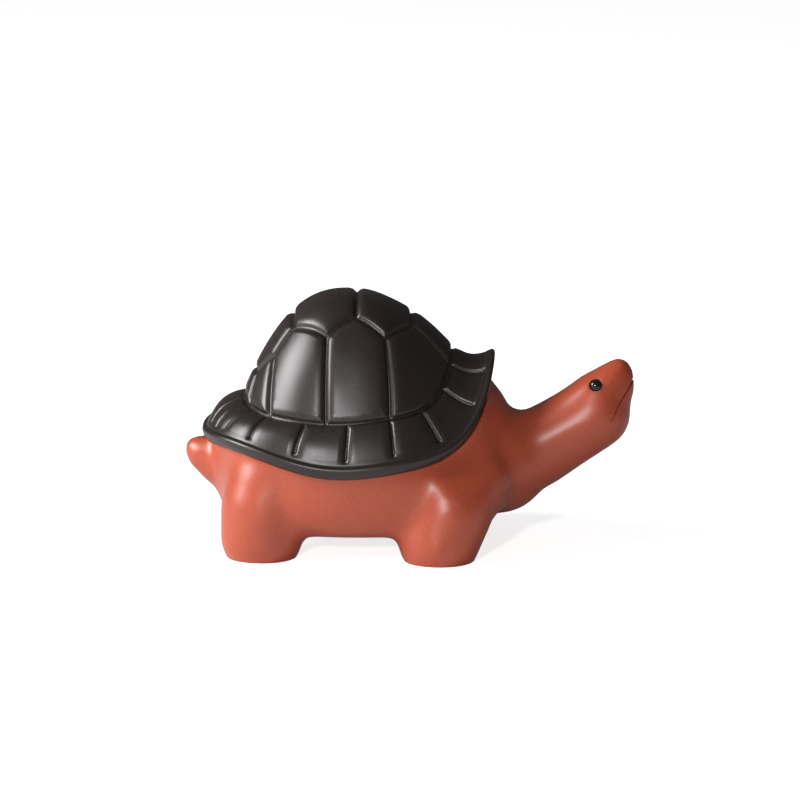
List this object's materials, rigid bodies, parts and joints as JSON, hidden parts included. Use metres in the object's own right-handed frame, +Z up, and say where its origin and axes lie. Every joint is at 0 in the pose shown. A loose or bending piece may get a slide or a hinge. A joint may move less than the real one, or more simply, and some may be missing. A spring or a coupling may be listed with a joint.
{
  "type": "tea pet",
  "caption": "Clay tortoise tea pet: red clay body with a raised head, dark carved clay shell with a flared rim, black bead eyes.",
  "frame": {"origin": "on the table plane, under the middle of the figure's bounding box", "axes": "+X from tail to head, +Y to the tortoise's left, +Z up from the feet"},
  "size_m": [0.1099, 0.06, 0.0633],
  "materials": {
    "red_clay": "satin",
    "dark_clay": "satin",
    "black_clay": "gloss"
  },
  "bodies": {
    "root": {"body": "red_clay", "shell": "dark_clay", "eye_left": "black_clay", "eye_right": "black_clay"}
  },
  "joints": []
}
